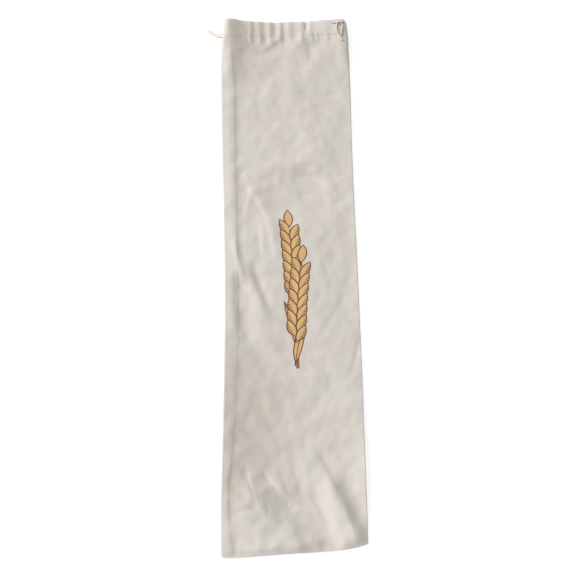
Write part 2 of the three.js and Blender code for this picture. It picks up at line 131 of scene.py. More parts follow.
FRAY_SCATTER = 0.4  # how far their roots lie from the cord's middle
FRAY_SUNK = 0.85  # how far inside the cord their roots are

# The weave and the print
THREAD_PITCH = 0.46  # of the cloth's weave
WEAVE_RELIEF = 0.6  # the weave's share of the relief, beside the uneven threads
SLUB_WIDTH = 1.3  # of a thicker stretch of thread
SLUB_LENGTH = 40.0
SLUB_LEVEL = 0.75  # of their noise, where it leaves the cloth's tone as it is
SLUB_TONE = 0.55  # how far they change the tone
CLOUD_TONE = 0.7  # how far broad uneven patches do
INK_EDGE = 0.3  # width over which a shape's edge softens
INK_LINE = 1.5  # width of the brown lines
INK_WEAR = (0.25, 0.55)  # span of noise from worn ink to full
INK_WORN = 0.86  # how well worn ink covers the cloth
INK_FULL = 0.98  # how well full ink does
GRAIN_LENGTH = 25.0
GRAIN_WIDTH = 12.5
GRAIN_PITCH = 13.5  # from one grain to the next on a side
GRAIN_ROOT = 0.4  # from the stalk's middle to a grain
GRAIN_LEAN = math.radians(27)
HATCH_PITCH = 2.8
HATCH_SHARE = 0.45  # how much of the pitch a line fills
HATCH_FROM = 1.0  # from a grain's middle to its hatching
STALK = 4.2  # across
LEAF_WIDTH = 12.0
MATT_SPECULAR = 0.2
SHEEN_ROUGHNESS = 0.6

# The floor, the light and the camera, with places in metres
FLOOR_SIZE = 12.0
FLOOR_HEIGHT = -0.0004
FLOOR_TONE = 0.4
FLOOR_GLOW = 0.72  # light of its own, as a light table gives
FILL_STRENGTH = 0.5
KEY_PLACE = (-1.42, 0.48, 1.08)
KEY_SOFTNESS = math.radians(58)
KEY_STRENGTH = 3.3
CAMERA_PLACE = (-0.00696, -0.28575, 1.1450)
CAMERA_TARGET = (-0.00259, -0.02259, 0.0049)
CAMERA_LENS = 58.125  # in millimetres, for a sensor 36 mm wide


def linear(red, green, blue):
    """A screen colour, given as 0 to 255, on Blender's own scale by the sRGB curve."""
    shares = np.array([red, green, blue]) / 255
    return (*np.where(shares <= 0.04045, shares / 12.92, ((shares + 0.055) / 1.055) ** 2.4), 1.0)


CLOTH_DARK = linear(195, 187, 177)
CLOTH_LIGHT = linear(208.5, 204.5, 200)
INK_TAN = linear(205, 168, 112)
INK_BROWN = linear(105, 62, 46)
CORD_DARK = linear(192, 176, 164)
CORD_LIGHT = linear(232, 221, 210)
THREAD_DARK = linear(205, 198, 188)
THREAD_LIGHT = linear(228, 222, 212)

# Each row has a run, the left edge there, the seam beside it, the right edge, and how far the seam's raw
# edges lift the front.
OUTLINE = (
    (0.0, -87.3, -71.7, 87.5, 1.4),
    (0.044, -87.8, -75.7, 87.8, 1.0),
    (0.117, -86.9, -77.7, 87.4, 1.6),
    (0.183, -85.7, -72.7, 87.4, 1.3),
    (0.274, -84.2, -68.7, 87.4, 0.7),
    (0.368, -83.2, -65.7, 87.0, 0.9),
    (0.461, -82.7, -64.9, 86.5, 1.7),
    (0.51, -82.8, -65.4, 86.1, 1.7),
    (0.56, -83.0, -65.8, 85.6, 1.7),
    (0.659, -84.0, -66.7, 84.7, 1.7),
    (0.762, -85.5, -67.7, 84.2, 1.7),
    (0.868, -86.8, -67.7, 84.5, 1.7),
    (0.931, -87.6, -69.7, 84.4, 1.7),
    (0.973, -86.7, -70.7, 84.0, 1.7),
    (1.04, -84.1, -70.7, 83.6, 1.7),
    (2.0, -82.7, -69.7, 82.3, 1.7),
)
# Each row has a share, and the bottom edge, the stitch line and the mouth there.
EDGES = (
    (0.0, -346.6, 318.3, 345.6),
    (0.03, -348.4, 318.7, 346.2),
    (0.1, -348.7, 319.1, 345.8),
    (0.25, -347.0, 319.5, 344.3),
    (0.5, -344.5, 320.3, 342.6),
    (0.75, -342.7, 321.1, 343.2),
    (0.9, -339.4, 321.5, 344.7),
    (0.97, -336.5, 321.7, 345.1),
    (1.0, -335.2, 321.7, 341.1),
)
# Each row has a run, the front's heights there at its left edge, middle and right edge, the thickness of the
# cloth or the casing, and how far in from its left and right edge the front is rounded.
SECTIONS = (
    (0.0, 2.6, 4.2, 3.2, 0.8, 1.4, 0.9),
    (0.02, 3.4, 5.6, 4.4, 0.8, 1.5, 0.9),
    (0.05, 5.6, 6.0, 5.4, 0.8, 1.5, 0.6),
    (0.08, 8.4, 6.0, 6.4, 0.8, 1.5, 0.6),
    (0.135, 11.4, 5.8, 6.6, 0.8, 1.5, 0.6),
    (0.24, 12.4, 5.0, 5.0, 0.8, 1.5, 0.8),
    (0.35, 11.0, 5.0, 3.8, 0.8, 1.5, 0.9),
    (0.45, 7.0, 5.4, 3.4, 0.8, 1.5, 0.9),
    (0.55, 5.4, 5.6, 3.4, 0.8, 1.5, 0.9),
    (0.8, 5.0, 5.8, 3.6, 0.8, 1.6, 0.9),
    (0.93, 8.0, 7.6, 6.0, 0.9, 3.6, 2.6),
    (0.985, 13.6, 9.9, 11.2, 1.1, 5.6, 5.2),
    (1.0, 14.3, 10.4, 12.0, 2.2, 5.8, 5.5),
    (1.14, 15.2, 10.8, 13.0, 4.4, 6.5, 6.5),
    (1.5, 15.6, 11.0, 13.4, 4.4, 6.7, 6.7),
    (1.8, 15.2, 10.9, 13.0, 4.4, 6.5, 6.5),
    (2.0, 13.6, 9.8, 11.4, 2.6, 5.7, 5.7),
)
# The gathers' hollows and crests along the stitch line, each with its rise.
GATHERS = (
    (-51, 0), (-47, 0.7), (-42, 0), (-35.5, 1.2), (-28, 0), (-21.5, 1.5), (-14, 0), (-7.5, 1.7), (-2, 0),
    (5, 0.9), (12.5, 0), (21, 1.1), (27, 0.2), (32, 0.7), (39, 0), (51, 0.6), (62, 0),
)


class Fold(NamedTuple):
    """A ridge or hollow along a line of the front."""

    start: tuple
    end: tuple
    rise: float
    left: float  # its spread on the left of the line
    right: float  # the same on the right
    bow: float = 0  # how far the middle of the line lies to the right


# The main folds, roughly from the mouth down.
FOLDS = (
    Fold((-71, 376), (-73, 248), 4.6, 16, 13),
    Fold((-56, 372), (-63, 258), -1.4, 12, 12),
    Fold((-20, 372), (-30, 280), -2.3, 26, 34),
    Fold((-35, 299), (-1, 325), 1.4, 6, 3.5),
    Fold((-24, 299), (4, 317), -0.6, 5, 9),
    Fold((8, 303), (27, 320), 0.5, 7, 8),
    Fold((68, 350), (80, 268), 1.4, 6, 8),
    Fold((12, 250), (44, 190), -0.6, 9, 9, bow=-14),
    Fold((-40, 225), (-6, 195), 0.6, 6, 6),
    Fold((-42, 130), (18, 140), 1.2, 7, 8, bow=-6),
    Fold((22, 146), (20, 62), -2.4, 44, 46),
    Fold((28, 139), (66, 105), 0.9, 7, 7),
    Fold((52, 120), (56, 60), 0.9, 12, 7),
    Fold((-55, 136), (-43, 96), 1.6, 20, 6),
    Fold((-54, 118), (-17, 14), 1.4, 11, 4, bow=-9),
    Fold((-45, 118), (-57, 64), 1.0, 7, 3.5),
    Fold((-60, 16), (-22, -74), 1.7, 6, 8, bow=2),
    Fold((-47, 18), (-26, -46), -1.4, 7, 5, bow=2),
    Fold((-70, 50), (-56, -20), 1.9, 4.5, 4, bow=2),
    Fold((-67, 0), (-61, -84), -2.4, 18, 7),
    Fold((-62, -56), (-20, -147), -1.5, 12, 9, bow=2),
    Fold((80, 0), (24, -98), -1.1, 11, 6, bow=-8),
    Fold((54, 74), (72, -12), 0.9, 8, 20),
    Fold((-40, -246), (6, -297), -2.1, 3.4, 24, bow=2),
    Fold((-38, -240), (2, -288), 0.6, 9, 3, bow=3),
    Fold((-2, -262), (0, -340), -1.8, 16, 24),
    Fold((18, -258), (50, -356), -3.0, 10, 34),
    Fold((-58, -262), (-39, -298), 1.1, 4.5, 5),
    Fold((-58, -248), (38, -358), 6.0, 22, 50, bow=20),
    Fold((-84, -274), (-46, -290), 0.8, 6, 5),
    Fold((-74, -296), (-38, -291), -0.8, 3.5, 3.5),
    Fold((-12, -306), (22, -374), 2.0, 10, 16),
    Fold((-40, -306), (-41, -374), 1.0, 11, 6),
    Fold((-70, -316), (-70, -372), -1.1, 7, 10),
    Fold((37, -250), (73, -374), 2.2, 15, 11),
    Fold((37, -248), (96, -366), 3.6, 12, 13),
    Fold((52, -246), (106, -362), -3.4, 18, 10),
    Fold((59, -314), (64, -380), 2.0, 26, 42),
    Fold((93, -190), (97, -325), 3.4, 16, 17),
)
# Finer creases, and soft folds between the main ones.
CREASES = (
    Fold((27, 354), (28, 324), -1.4, 3.2, 2.2),
    Fold((30, 312), (34, 284), -1.2, 8, 5),
    Fold((-41, 68), (-36, 12), -0.6, 3, 4),
    Fold((42, 14), (55, -26), -0.4, 4, 3),
    Fold((91, -74), (71, -142), -0.7, 5, 4),
    Fold((-24, 130), (-19, 116), -0.8, 8, 8),
    Fold((78, 140), (82, 94), 1.0, 10, 22),
    Fold((27, 134), (24, 92), -1.6, 24, 14),
    Fold((-60, -238), (-40, -300), -0.9, 2.5, 5, bow=1),
    Fold((-17, -248), (-5, -278), -0.5, 4, 3),
    Fold((-1, -232), (14, -302), -0.6, 8, 3.5),
    Fold((-32, -260), (6, -290), 0.7, 3, 2.5, bow=1),
    Fold((16, -272), (43, -310), -0.5, 3, 3),
    Fold((30, -218), (62, -284), -1.5, 22, 5),
    Fold((58, -286), (73, -328), 0.7, 3, 3),
    Fold((-38, -280), (-34, -300), 0.7, 3, 3),
    Fold((-60, -328), (-60, -360), -0.6, 4, 4),
    Fold((27, -320), (28, -366), 1.7, 7, 8),
    Fold((42, -331), (42, -366), 1.0, 5, 6),
    Fold((58, -326), (59, -368), 1.1, 7, 7),
    Fold((-23, -320), (-22, -368), 1.2, 7, 7),
)
# Places across the bag of the puckers that the stitches draw, which lean as the gathers do.
PUCKERS = (-48.5, -35, -22.5, 20, 34, 40.5, 54.5)
PUCKER_TOP = 327.0
PUCKER_FOOT = 311.0
PUCKER_RISE = 0.7
PUCKER_SPREAD = 2.4

LEFT_CORD_RUN = 1.24  # where along the casing the left cord lies
RIGHT_CORD_RUN = 1.7  # the same for the right cord
RIGHT_EXITS = (65, 72.5)  # places across the bag where the right cord comes out of the front
EXIT_CLIMB = 3.2  # how far beside each exit the cord begins to climb
# The left cord's loose ends, the upper one first, each from the cloth outwards.
LEFT_ENDS = (
    ((-89, 325.2, 8.6), (-93.5, 327.9, 6.0), (-97.5, 332.0, 3.4), (-101.4, 336.6, 1.3)),
    ((-89, 324.7, 3.2), (-94.3, 326.9, 1.6), (-98.9, 330.4, 1.05), (-103.4, 334.6, 1.05)),
)
# The right cord's, with each point's height over the cloth: the first end passes over the second.
RIGHT_ENDS = (
    (
        (67.6, 337.6, 0.9), (70.2, 337.5, 2.1), (72.4, 337.2, 2.2), (74.3, 336.2, 1.4), (75.6, 334.4, 0.4),
        (75.8, 332.0, 0), (75.0, 328.2, 0), (74.2, 324.4, 0), (74.6, 320.4, 0),
    ),
    (
        (70.35, 337.1, 0), (68.8, 335.5, 0), (68.2, 333.3, 0), (67.7, 329.5, 0), (68.5, 325.6, 0),
        (70.2, 321.4, 0), (72.5, 317.2, 0), (75.0, 312.8, 0),
    ),
)


class Ear(NamedTuple):
    """A stalk of wheat with one leaf."""

    foot: tuple
    bend: float  # how far aside its tip lies
    ear_foot: float
    tip: float
    leaf_foot: float
    leaf_length: float
    leaf_reach: float  # how far aside the leaf's tip lies


EARS = (
    Ear(foot=(8, -125), bend=-10, ear_foot=-42, tip=81, leaf_foot=-104, leaf_length=66, leaf_reach=-15),
    Ear(foot=(6, -122), bend=12, ear_foot=-92, tip=34, leaf_foot=-120, leaf_length=50, leaf_reach=12),
)


class PaintedShade(NamedTuple):
    """A broad patch of painted shade, where the cloth's colour is darkened: its middle, its reach each way
    and its depth.
    """

    middle: tuple
    reach: tuple
    depth: float


# Painted shade: broad patches at the lower left and at the casing's left end, where the cloth's colour is
# darkened because the front lies in shade there.
PAINTED_SHADES = (
    PaintedShade(middle=(-42, -190), reach=(75, 120), depth=0.6),
    PaintedShade(middle=(-80, -260), reach=(34, 46), depth=0.6),
    PaintedShade(middle=(-48, 328), reach=(54, 50), depth=0.7),
)


def smooth(value):
    """Eases from 0 to 1 as the value does."""
    t = np.clip(value, 0, 1)
    return t * t * (3 - 2 * t)


def settle(value):
    """Goes from 0 to 1 as the value does, slower and slower."""
    return 1 - (1 - np.clip(value, 0, 1)) ** 2


def lerp(a, b, share):
    """A share of the way from a to b."""
    return a + (b - a) * share


def curve(places, values):
    """A smooth curve through values at some places, which stays between the values on either side."""
    steepness = np.diff(values) / np.diff(places)
    before = steepness[:-1]
    after = steepness[1:]
    both = before * after
    slopes = np.zeros(len(places))
    slopes[1:-1] = np.where(both > 0, 2 * both / np.where(both > 0, before + after, 1), 0)

    def at(where):
        i = np.clip(np.searchsorted(places, where, side="right") - 1, 0, len(places) - 2)
        span = places[i + 1] - places[i]
        t = np.clip((where - places[i]) / span, 0, 1)
        start = t * (1 - t) ** 2 * slopes[i] * span
        end = t**2 * (t - 1) * slopes[i + 1] * span
        return lerp(values[i], values[i + 1], smooth(t)) + start + end

    return at


def curves(rows):
    """A curve for each column of a table but the first, which has the places."""
    places, *columns = np.array(rows, float).T
    return [curve(places, values) for values in columns]


left_edge, seam_line, right_edge, raw_edges = curves(OUTLINE)
bottom_edge, stitch_line, mouth_edge = curves(EDGES)
left_height, middle_height, right_height, wall_thickness, left_cap, right_cap = curves(SECTIONS)
(gather_wave,) = curves(GATHERS)


def along(run, x):
    """Where a run lies along the bag, at a place across it."""
    share = (x - left_edge(run)) / (right_edge(run) - left_edge(run))
    stitch = stitch_line(share)
    on_body = lerp(bottom_edge(share), stitch, run)
    on_casing = lerp(stitch, mouth_edge(share), run - 1)
    return np.where(run <= 1, on_body, on_casing)


def off_bottom(run):
    """0 at the bottom edge, easing to 1 above its flat seam."""
    return smooth(run / BOTTOM_SEAM)


def below_casing(run):
    """1 on the body, easing to 0 as it nears the stitch line."""
    return 1 - smooth((run - SIDE_SEAM_END) / (1 - SIDE_SEAM_END))


def fold_line(fold):
    """Points along a fold's bowed line."""
    start = np.array(fold.start, float)
    end = np.array(fold.end, float)
    reach = end - start
    right = np.array([reach[1], -reach[0]]) / np.linalg.norm(reach)
    bend = (start + end) / 2 + 2 * fold.bow * right
    t = np.linspace(0, 1, FOLD_STEPS + 1)[:, None]
    return (1 - t) ** 2 * start + 2 * t * (1 - t) * bend + t**2 * end


def fold_rise(fold, x, y):
    """What one fold adds to the front's height."""
    line = fold_line(fold)
    nearest = np.full(x.shape, np.inf)
    share = np.zeros(x.shape)
    side = np.zeros(x.shape)
    for i, (a, b) in enumerate(zip(line, line[1:])):
        reach = b - a
        t = np.clip(((x - a[0]) * reach[0] + (y - a[1]) * reach[1]) / (reach @ reach), 0, 1)
        dx = x - a[0] - t * reach[0]
        dy = y - a[1] - t * reach[1]
        away = np.hypot(dx, dy)
        closer = away < nearest
        nearest = np.where(closer, away, nearest)
        share = np.where(closer, (i + t) / FOLD_STEPS, share)
        side = np.where(closer, dx * reach[1] - dy * reach[0], side)
    spread = np.where(side > 0, fold.right, fold.left)
    fade = smooth(share / FOLD_FADE) * smooth((1 - share) / FOLD_FADE)
    return fold.rise * fade * np.exp(-((nearest / spread) ** 2))


def wrinkles(x, y, layer):
    """Loose, shallow wrinkles, different on each layer of cloth."""
    total = np.zeros(x.shape)
    for width, rise in WRINKLE_SCALES:
        places = np.column_stack([x.ravel() / width, y.ravel() / width, np.full(x.size, layer)])
        total += rise * np.array([noise.noise(place) for place in places]).reshape(x.shape)
    return total


def plain_front(run, x, folds=FOLDS):
    """Height of the front without its gathers and seam."""
    middle = middle_height(run)
    from_left = settle((x - left_edge(run) - left_cap(run)) / LEFT_SWELL)
    from_right = smooth((right_edge(run) - right_cap(run) - x) / RIGHT_SWELL)
    left_side = lerp(left_height(run), middle, from_left)
    right_side = lerp(right_height(run), middle, from_right)
    swell = left_side + right_side - middle
    y = along(run, x)
    rise = lerp(BOTTOM_SHARE, 1, off_bottom(run))
    folded = swell + sum(fold_rise(fold, x, y) for fold in folds) * rise
    return np.maximum(folded, 2 * wall_thickness(run) + LEAST_GAP)


def extra_rise(run, x):
    """What the gathers and the raw edges of the seam add to the front."""
    below_stitches = np.maximum(1 - run, 0) * BODY_LENGTH
    reach = smooth((run - 1) / GATHER_REACH + 1)
    fullness = lerp(STITCHED_SHARE, 1, smooth((run - 1) / STITCHED_REACH))
    gathered = reach * fullness * gather_wave(x - GATHER_LEAN * below_stitches)
    away = x - seam_line(run)
    slope = smooth(away / SEAM_SLOPE + 0.5)
    crease = smooth(away / SEAM_STEP + 0.5)
    over_seam = 1 - lerp(slope, crease, SEAM_SHARPNESS)
    seamed = off_bottom(run) * below_casing(run)
    from_left = smooth((x - left_edge(run) - left_cap(run)) / STRIP_RISE)
    return gathered + raw_edges(run) * lerp(STRIP_START, 1, from_left) * over_seam * seamed


def pucker(x):
    """The small ridge that the stitches draw at one place."""
    shift = GATHER_LEAN * (PUCKER_TOP - PUCKER_FOOT)
    top = (x, PUCKER_TOP)
    foot = (x + shift, PUCKER_FOOT)
    return Fold(top, foot, rise=PUCKER_RISE, left=PUCKER_SPREAD, right=PUCKER_SPREAD)


def front(run, x):
    """Height of the front's outside."""
    loose = off_bottom(run) * wrinkles(x, along(run, x), FRONT_LAYER)
    folds = FOLDS + CREASES + tuple(pucker(place) for place in PUCKERS)
    return plain_front(run, x, folds) + extra_rise(run, x) + loose


def front_columns(run):
    """Places of the front's points across the bag, for a column of runs."""
    start = left_edge(run) + left_cap(run)
    before_seam = seam_line(run) - SEAM_STEP / 2
    after_seam = seam_line(run) + SEAM_STEP / 2
    end = right_edge(run) - right_cap(run)
    return np.hstack([
        lerp(start, before_seam, np.arange(STRIP_COLUMNS) / STRIP_COLUMNS),
        lerp(before_seam, after_seam, np.arange(STEP_COLUMNS) / STEP_COLUMNS),
        lerp(after_seam, end, np.arange(FRONT_COLUMNS + 1) / FRONT_COLUMNS),
    ])


def back_columns(run):
    """Places of the back's points across the bag, from right to left, for a column of runs."""
    x = front_columns(run)
    tuck = TUCK * below_casing(run)
    start = x[:, -1:] - tuck * right_height(run)
    end = x[:, :1] + tuck * left_height(run)
    return lerp(start, end, np.arange(BACK_COLUMNS + 1) / BACK_COLUMNS)


def loops(run, depth, over, under):
    """Loops round the bag, one for each run: from the middle of the left edge over the front and back under.

    The depth is measured inwards from the outside, whose heights are given for the front and the back.
    """
    x = front_columns(run)
    top = over - depth
    back_x = back_columns(run)
    bottom = under + depth
    angles = np.pi * (np.arange(1, CAP_STEPS) / CAP_STEPS - 0.5)
    below = np.where(angles < 0, 1 - np.cos(angles), 0)

    def edge(centre, reach, high, low, tuck):
        middle = (high + low) / 2
        return centre + reach * np.cos(angles) + tuck * below, middle + (high - middle) * np.sin(angles)

    left_tuck = back_x[:, -1:] - x[:, :1]
    right_tuck = back_x[:, :1] - x[:, -1:]
    left_x, left_z = edge(x[:, :1], depth - left_cap(run), top[:, :1], bottom[:, -1:], left_tuck)
    right_x, right_z = edge(x[:, -1:], right_cap(run) - depth, top[:, -1:], bottom[:, :1], right_tuck)
    half = len(angles) // 2
    across = np.hstack([left_x[:, half:], x, right_x[:, ::-1], back_x, left_x[:, :half]])
    height = np.hstack([left_z[:, half:], top, right_z[:, ::-1], bottom, left_z[:, :half]])
    return np.stack([across, along(run, across), height], axis=-1)


def back(run):
    """Height of the back's outside, from right to left."""
    x = back_columns(run)
    loose = wrinkles(x, along(run, x), BACK_LAYER)
    return BACK_LIFT * np.clip(0.5 + loose, 0, 1)


def mouth_round(outer, inner):
    """Loops that round off the mouth, from the outside to the inside."""
    made = []
    for angle in math.pi * np.arange(1, EDGE_STEPS) / EDGE_STEPS:
        between = lerp(outer, inner, (1 - math.cos(angle)) / 2)
        between[:, 1] += EDGE_ROUND * math.sin(angle)
        made.append(between)
    return np.array(made)


def bottom_round(loop):
    """Loops that close in round the bottom edge, from the smallest out."""
    middle = loop[:, 2].mean()
    made = []
    for step in range(EDGE_STEPS - 1, 0, -1):
        angle = math.pi / 2 * step / EDGE_STEPS
        smaller = loop.copy()
        smaller[:, 1] -= EDGE_ROUND * math.sin(angle)
        smaller[:, 2] = middle + (loop[:, 2] - middle) * math.cos(angle)
        made.append(smaller)
    return np.array(made)


def fill(loop, first):
    """Triangles over one loop, in a strip from its first corner to the corner farthest from that."""
    away = np.linalg.norm(loop - loop[0], axis=1)
    farthest = int(away.argmax())
    triangles = []
    here = 0
    there = len(loop) - 1
    while there - here > 1:
        steps_here = there == farthest or (here < farthest and away[here + 1] < away[there - 1])
        corner = here + 1 if steps_here else there - 1
        triangles.append((first + here, first + corner, first + there))
        if steps_here:
            here += 1
        else:
            there -= 1
    return triangles


def link(name, data):
    """A new object in the scene."""
    made = bpy.data.objects.new(name, data)
    bpy.context.scene.collection.objects.link(made)
    return made


def make_object(name, points, faces, material):
    """A smooth mesh object from points in millimetres, which moves with the part."""
    mesh = bpy.data.meshes.new(name)
    mesh.from_pydata((np.asarray(points) * MM).tolist(), [], faces)
    mesh.shade_smooth()
    mesh.materials.append(material)
    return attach(link(name, mesh), "root")


def strips(rows, columns):
    """Quads between neighbouring loops of a tube, as rows of four corners."""
    i, j = np.meshgrid(np.arange(rows - 1), np.arange(columns), indexing="ij")
    here = i * columns
    k = (j + 1) % columns
    return np.stack([here + j, here + k, here + columns + k, here + columns + j], axis=-1)


def tube(path, radius, angles, across, up):
    """Points and faces of a closed tube, with a ring of points for each point of its path."""
    sideways = (radius * np.cos(angles))[:, :, None] * across
    upwards = (radius * np.sin(angles))[:, :, None] * up
    rings = path[:, None] + sideways + upwards
    rows, columns = rings.shape[:2]
    corners = np.arange(rows * columns)
    caps = [corners[:columns][::-1].tolist(), corners[-columns:].tolist()]
    return rings.reshape(-1, 3).tolist(), strips(rows, columns).reshape(-1, 4).tolist() + caps


def add(points, faces, more_points, more_faces):
    """Adds some points and the faces on them to a mesh's."""
    first = len(points)
    points += more_points
    faces += [[first + corner for corner in face] for face in more_faces]


def bag_loops():
    """Loops of the cloth, from the outside of the bottom over the mouth to the inside of the bottom.

    With them come the number of loops below the first outer one, and the outer ones' runs.
    """
    below = np.linspace(EDGE_ROUND / BODY_LENGTH, 1, BODY_ROWS + 1)
    above = np.linspace(1, 2 - EDGE_ROUND / CASING_LENGTH, CASING_ROWS + 1)
    run = np.concatenate([below, above[1:]])[:, None]
    x = front_columns(run)
    over = front(run, x)
    under = back(run)
    outer = loops(run, 0, over, under)
    inner_rows = np.r_[len(run) - 1 : BODY_ROWS : -CASING_SKIP, BODY_ROWS : 0 : -BODY_SKIP]
    plain = over - extra_rise(run, x)
    inner = loops(run[inner_rows], wall_thickness(run[inner_rows]), plain[inner_rows], under[inner_rows])
    closing = bottom_round(outer[0])
    every = np.concatenate([closing, outer, mouth_round(outer[-1], inner[0]), inner])
    return every, len(closing), run.ravel()


def slot_faces(every, first_outer, runs):
    """Which quads of the outside the two slots take away."""
    cut = np.zeros((len(every) - 1, every.shape[1]), bool)
    outer = slice(first_outer, first_outer + len(runs) - 1)
    between = (runs[:-1] + runs[1:])[:, None] / 2
    in_left = np.abs(between - LEFT_CORD_RUN) < LEFT_SLOT / 2 / CASING_LENGTH
    # A loop starts and ends in the middle of the left edge.
    beside_left = np.zeros(every.shape[1], bool)
    beside_left[0] = True
    beside_left[1 - CAP_STEPS // 2 :] = True
    in_right = np.abs(between - RIGHT_CORD_RUN) < RIGHT_SLOT / 2 / CASING_LENGTH
    on_front = every[outer, :, 2] > FRONT_LEAST
    from_middle = np.abs(every[outer, :, 0] - np.mean(RIGHT_EXITS))
    across = (from_middle > SLOT_BRIDGE / 2) & (from_middle < np.ptp(RIGHT_EXITS) / 2 + SLOT_REACH)
    cut[outer] = (in_left & beside_left) | (in_right & across & on_front)
    return cut


def cloth_places(every):
    """How far round the cloth each point lies, which is x on the front, and where each loop closes again."""
    steps = np.diff(np.concatenate([every, every[:, :1]], axis=1), axis=1)
    lengths = np.hypot(steps[:, :, 0], steps[:, :, 2])
    first = CAP_STEPS // 2
    last = first + STRIP_COLUMNS + STEP_COLUMNS + FRONT_COLUMNS
    lengths[:, first:last] = steps[:, first:last, 0]
    round_bag = np.hstack([np.zeros((len(every), 1)), np.cumsum(lengths, axis=1)])
    return round_bag + every[:, first : first + 1, 0] - round_bag[:, first : first + 1]


def make_bag(material):
    """The cloth: outside, rounded mouth and inside, as one thin shell with slots for the cords."""
    every, first_outer, runs = bag_loops()
    rows, columns = every.shape[:2]
    kept = ~slot_faces(every, first_outer, runs)
    quads = strips(rows, columns)[kept]
    last = (rows - 1) * columns
    ends = [triangle[::-1] for triangle in fill(every[0], 0)] + fill(every[-1], last)
    made = make_object("bag", every.reshape(-1, 3), quads.tolist() + ends, material)
    across = cloth_places(every)
    along_bag = np.concatenate([every[:, :, 1], every[:, :1, 1]], axis=1)
    places = np.stack([across, along_bag], axis=-1) * MM
    corners = np.stack([places[:-1, :-1], places[:-1, 1:], places[1:, 1:], places[1:, :-1]], axis=2)[kept]
    on_ends = places[:, :-1].reshape(-1, 2)[np.array(ends).ravel()]
    flat = np.concatenate([corners.reshape(-1, 2), on_ends])
    layer = made.data.uv_layers.new(name="cloth")
    layer.data.foreach_set("uv", flat.astype(np.float32).ravel())
    turn_in_slots(made.data)
    return made


def turn_in_slots(mesh):
    """Gives the cut edges of the slots the thickness of the cloth."""
    work = bmesh.new()
    work.from_mesh(mesh)
    rims = [edge for edge in work.edges if edge.is_boundary]
    made = bmesh.ops.extrude_edge_only(work, edges=rims)["geom"]
    for vert in made:
        if isinstance(vert, bmesh.types.BMVert):
            inwards = Vector((1, 0, 0)) if vert.co.x < 0 else Vector((0, 0, -1))
            vert.co += inwards * CLOTH * MM
    bmesh.ops.recalc_face_normals(work, faces=work.faces)
    work.to_mesh(mesh)
    work.free()


def smooth_path(points, step):
    """Evenly spaced points on a centripetal Catmull-Rom curve through chosen ones."""
    points = np.array(points, float)
    padded = np.vstack([2 * points[0] - points[1], points, 2 * points[-1] - points[-2]])
    knots = np.concatenate([[0], np.cumsum(np.sqrt(np.linalg.norm(np.diff(padded, axis=0), axis=1)))])
    pieces = []
    for i in range(1, len(padded) - 2):
        t0, t1, t2, t3 = knots[i - 1 : i + 3]
        p0, p1, p2, p3 = padded[i - 1 : i + 3]
        t = np.linspace(t1, t2, PATH_STEPS, endpoint=False)[:, None]
        a1 = lerp(p0, p1, (t - t0) / (t1 - t0))
        a2 = lerp(p1, p2, (t - t1) / (t2 - t1))
        a3 = lerp(p2, p3, (t - t2) / (t3 - t2))
        b1 = lerp(a1, a2, (t - t0) / (t2 - t0))
        b2 = lerp(a2, a3, (t - t1) / (t3 - t1))
        pieces.append(lerp(b1, b2, (t - t1) / (t2 - t1)))
    line = np.vstack([*pieces, points[-1:]])
    lengths = np.concatenate([[0], np.cumsum(np.linalg.norm(np.diff(line, axis=0), axis=1))])
    even = np.linspace(0, lengths[-1], round(lengths[-1] / step) + 1)
    return np.column_stack([np.interp(even, lengths, line[:, axis]) for axis in range(3)])


def cord_loop(run):
    """Points round the middle of the casing's inside, from the left edge over the front and back under."""
    across = np.linspace(left_edge(run) + left_cap(run), right_edge(run) - right_cap(run), CORD_COLUMNS)
    top = plain_front(run, across) - CHANNEL_DEPTH
    angles = np.pi * (np.arange(1, CORD_CAP_STEPS) / CORD_CAP_STEPS - 0.5)

    def edge(centre, reach, high):
        middle = (high + CHANNEL_DEPTH) / 2
        return np.column_stack([centre + reach * np.cos(angles), middle + (high - middle) * np.sin(angles)])

    left = edge(across[0], CHANNEL_DEPTH - left_cap(run), top[0])
    right = edge(across[-1], right_cap(run) - CHANNEL_DEPTH, top[-1])[::-1]
    back_x = np.linspace(across[-1], across[0], CORD_UNDER)
    under = np.column_stack([back_x, np.full(CORD_UNDER, CHANNEL_DEPTH)])
    flat = np.vstack([left[1:], np.column_stack([across, top]), right, under, left[:1]])
    return np.column_stack([flat[:, 0], along(run, flat[:, 0]), flat[:, 1]])


def left_cord_points():
    """In at the upper turn of the left edge, over the front, round behind and out at the lower turn."""
    above, below = LEFT_ENDS
    return np.vstack([above[::-1], cord_loop(LEFT_CORD_RUN)[1:], below])


def resting(x, y, lift=0):
    """A point of a cord that rests on the front, or lies a little over it."""
    left = left_edge(CASING_MIDDLE)
    share = (x - left) / (right_edge(CASING_MIDDLE) - left)
    bottom = bottom_edge(share)
    stitch = stitch_line(share)
    if y > stitch:
        run = 1 + (y - stitch) / (mouth_edge(share) - stitch)
    else:
        run = (y - bottom) / (stitch - bottom)
    surface = float(front(np.array(run), np.array(float(x))))
    return x, y, surface + CORD / 2 + CORD_REST + lift


def climb(start, end):
    """Points from the casing's inside up through the front."""
    run = np.array(RIGHT_CORD_RUN)
    low = float(plain_front(run, np.array(float(start)))) - CHANNEL_DEPTH + CORD_CLEARANCE
    high = resting(end, float(along(run, np.array(float(end)))))[2]
    across = np.linspace(start, end, CLIMB_POINTS)
    return np.column_stack([across, along(run, across), np.linspace(low, high, CLIMB_POINTS)])


